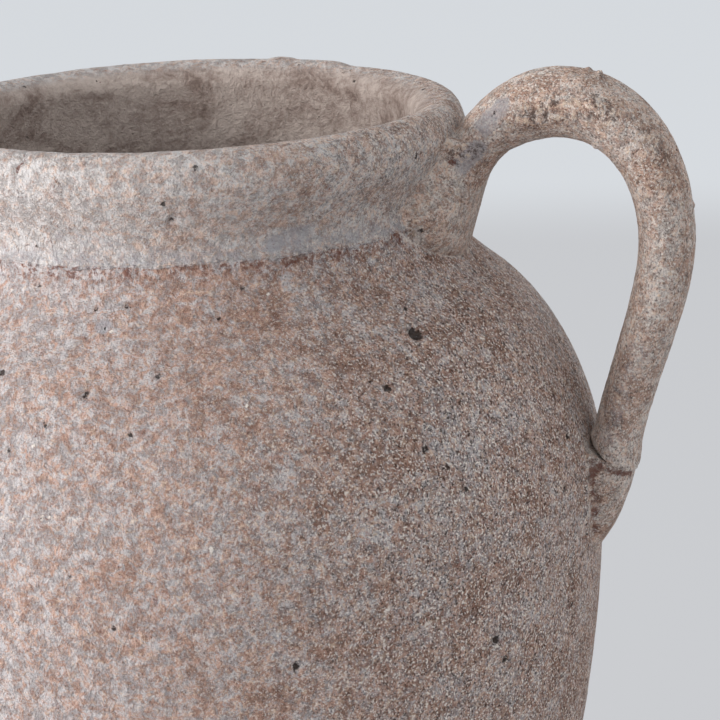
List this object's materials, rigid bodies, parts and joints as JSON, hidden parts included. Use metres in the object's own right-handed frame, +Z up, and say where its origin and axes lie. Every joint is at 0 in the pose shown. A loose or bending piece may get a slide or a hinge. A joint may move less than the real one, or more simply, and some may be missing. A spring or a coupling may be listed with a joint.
{
  "type": "amphora",
  "caption": "Two-handled earthenware storage jar with a wide rounded lip, short flared neck, full shoulder, egg-shaped body and strap handles looping from the neck to the belly.",
  "frame": {"origin": "centre of the flat resting face under the foot", "axes": "+Z up along the jar's axis, out of the mouth; the two handles lie along +X and -X"},
  "size_m": [0.3682, 0.295, 0.3923],
  "materials": {
    "clay_body": "matte",
    "clay_neck": "matte",
    "clay_handles": "matte",
    "pale_slip": "matte"
  },
  "bodies": {
    "root": {"base_disc": "clay_body", "lower_body": "clay_body", "upper_body": "clay_body", "neck_collar": "clay_neck", "lip_coil": "clay_neck", "neck_seam_coil": "pale_slip", "handle_right": "clay_handles", "handle_left": "clay_handles", "handle_right_root_wad": "clay_handles", "handle_left_root_wad": "clay_handles", "handle_right_foot_pad": "clay_handles", "handle_left_foot_pad": "clay_handles"}
  },
  "joints": []
}
